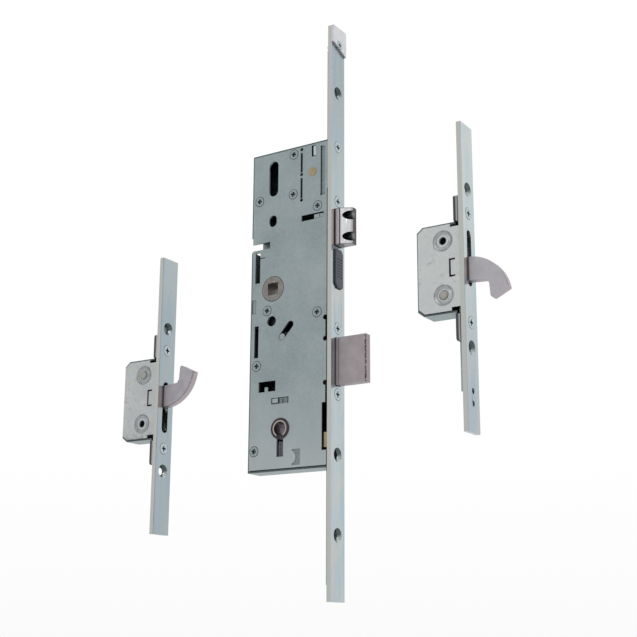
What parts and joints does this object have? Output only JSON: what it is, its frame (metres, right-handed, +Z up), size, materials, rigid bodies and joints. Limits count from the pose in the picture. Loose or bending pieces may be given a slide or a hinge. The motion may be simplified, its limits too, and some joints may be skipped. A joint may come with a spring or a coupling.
{
  "type": "multipoint door lock",
  "caption": "Multipoint door lock: lever case with latch and deadbolt on a long faceplate strip, and swinging hook units on strips of their own.",
  "frame": {"origin": "the spindle axis at the middle of the case's thickness", "axes": "+X is the way latch, deadbolt and hooks throw, out of the faceplate strips; +Z runs up along the strips; -Y is the side of the case covers"},
  "size_m": [0.2863, 0.016, 0.374],
  "materials": {
    "zinc_sheet": "zinc plated sheet, satin, slightly mottled",
    "bright_zinc": "bright zinc plated strip, glossy, rolled along its length",
    "sintered_steel": "sintered steel, nickel washed, fine grain, satin",
    "cast_zinc": "cast or turned, nickel plated, satin",
    "dark_steel": "phosphated steel, dark, dull",
    "spring_steel": "plain steel, drawn",
    "brass": "plain brass, dull",
    "moulded_plastic": "moulded plastic, dark blue grey",
    "follower_metal": "turned steel with a warm grey finish, faint rings",
    "bush_metal": "dark machined steel"
  },
  "bodies": {
    "root": {"centre_faceplate": "bright_zinc", "joint_strap": "bright_zinc", "joint_screw": "cast_zinc", "case_cover": "zinc_sheet", "case_tray": "zinc_sheet", "case_rim": "zinc_sheet", "case_screws": "cast_zinc", "case_posts": "spring_steel", "fixing_sleeve": "dark_steel", "front_blocks": "spring_steel", "faceplate_screws": "cast_zinc", "brass_rivet": "brass", "handle_spring": "spring_steel", "pinion_stud": "spring_steel", "latch_guide": "spring_steel", "latch_spring": "spring_steel", "trigger_spring": "spring_steel", "trigger_seat": "spring_steel", "lever_pivot": "spring_steel", "lower_faceplate": "bright_zinc", "lower_hook_cover": "zinc_sheet", "lower_hook_tray": "zinc_sheet", "lower_hook_pivot": "cast_zinc", "lower_hook_spacer": "spring_steel", "lower_lugs": "dark_steel", "lower_lug_screws": "cast_zinc", "upper_faceplate": "bright_zinc", "upper_hook_cover": "zinc_sheet", "upper_hook_tray": "zinc_sheet", "upper_hook_pivot": "cast_zinc", "upper_hook_spacer": "spring_steel", "upper_lugs": "dark_steel", "upper_lug_screws": "cast_zinc"},
    "follower": {"follower": "follower_metal"},
    "lower_drive": {"lower_slide": "dark_steel", "lower_rod": "dark_steel", "brass_coupling": "brass"},
    "upper_drive": {"upper_slide": "dark_steel", "upper_rod": "dark_steel"},
    "pinion": {"reversing_pinion": "sintered_steel"},
    "latch": {"latch_bolt": "cast_zinc"},
    "trigger": {"trigger_pad": "moulded_plastic"},
    "deadbolt": {"deadbolt": "sintered_steel"},
    "key_bush": {"key_bush": "bush_metal"},
    "levers": {"lever_pack": "brass", "lever_springs": "spring_steel"},
    "antithrust": {"antithrust_pin": "cast_zinc"},
    "lower_hook": {"lower_hook_bolt": "sintered_steel"},
    "lower_hook_drive": {"lower_hook_slide": "dark_steel", "lower_drive_pin": "spring_steel", "lower_hook_rod": "dark_steel"},
    "upper_hook": {"upper_hook_bolt": "sintered_steel"},
    "upper_hook_drive": {"upper_hook_slide": "dark_steel", "upper_drive_pin": "spring_steel", "upper_hook_rod": "dark_steel"}
  },
  "joints": [
    {"name": "follower_turn", "type": "hinge", "parent": "root", "child": "follower", "pos_m": [0, 0, 0], "axis": [0, -1, 0], "range_deg": [0, 45], "stiffness_Nm_per_rad": 0.5, "springref_deg": -22.92, "deforming": ["handle_spring"]},
    {"name": "lower_drive_travel", "type": "slide", "parent": "root", "child": "lower_drive", "axis": [0, 0, 1], "range_m": [0, 0.00982]},
    {"name": "upper_drive_travel", "type": "slide", "parent": "root", "child": "upper_drive", "axis": [0, 0, -1], "range_m": [0, 0.00982]},
    {"name": "reversing_pinion_turn", "type": "hinge", "parent": "root", "child": "pinion", "pos_m": [0.03, 0, 0.002], "axis": [0, -1, 0], "range_deg": [-93.8, 0]},
    {"name": "latch_travel", "type": "slide", "parent": "root", "child": "latch", "axis": [-1, 0, 0], "range_m": [0, 0.01151], "deforming": ["latch_spring"]},
    {"name": "trigger_press", "type": "slide", "parent": "root", "child": "trigger", "axis": [-1, 0, 0], "range_m": [0, 0.0012], "stiffness_N_per_m": 100, "springref_m": -0.004, "deforming": ["trigger_spring"]},
    {"name": "key_turn", "type": "hinge", "parent": "root", "child": "key_bush", "pos_m": [0.007, 0, -0.092], "axis": [0, -1, 0], "range_deg": [0, 180]},
    {"name": "deadbolt_travel", "type": "slide", "parent": "root", "child": "deadbolt", "axis": [-1, 0, 0], "range_m": [0, 0.02042]},
    {"name": "antithrust_travel", "type": "slide", "parent": "root", "child": "antithrust", "axis": [0.665, 0, 0.7468], "range_m": [0, 0.00978]},
    {"name": "lever_lift", "type": "hinge", "parent": "root", "child": "levers", "pos_m": [-0.009, 0, -0.079], "axis": [0, -1, 0], "range_deg": [0, 5], "stiffness_Nm_per_rad": 0.03, "springref_deg": -8.59, "deforming": ["lever_springs"]},
    {"name": "lower_hook_travel", "type": "slide", "parent": "root", "child": "lower_hook_drive", "axis": [0, 0, 1], "range_m": [0, 0.00982]},
    {"name": "lower_hook_swing", "type": "hinge", "parent": "root", "child": "lower_hook", "pos_m": [-0.1065, 0, -0.0453], "axis": [0, 1, 0], "range_deg": [0, 70.18]},
    {"name": "upper_hook_travel", "type": "slide", "parent": "root", "child": "upper_hook_drive", "axis": [0, 0, -1], "range_m": [0, 0.00982]},
    {"name": "upper_hook_swing", "type": "hinge", "parent": "root", "child": "upper_hook", "pos_m": [0.1228, 0, -0.0227], "axis": [0, -1, 0], "range_deg": [0, 70.18]}
  ],
  "couplings": [
    {"joint": "lower_drive_travel", "follows": "follower_turn", "m_per_rad": 0.0125},
    {"joint": "upper_drive_travel", "follows": "follower_turn", "m_per_rad": 0.0125},
    {"joint": "reversing_pinion_turn", "follows": "follower_turn", "ratio": -2.0833},
    {"joint": "latch_travel", "follows": "follower_turn", "m_per_rad": 0.01464},
    {"joint": "lower_hook_travel", "follows": "follower_turn", "m_per_rad": 0.0125},
    {"joint": "upper_hook_travel", "follows": "follower_turn", "m_per_rad": 0.0125},
    {"joint": "lower_hook_swing", "follows": "follower_turn", "ratio": 1.5573},
    {"joint": "upper_hook_swing", "follows": "follower_turn", "ratio": 1.5573},
    {"joint": "key_turn", "follows": "deadbolt_travel", "rad_per_m": 153.85},
    {"joint": "antithrust_travel", "follows": "deadbolt_travel", "ratio": 0.47846}
  ]
}
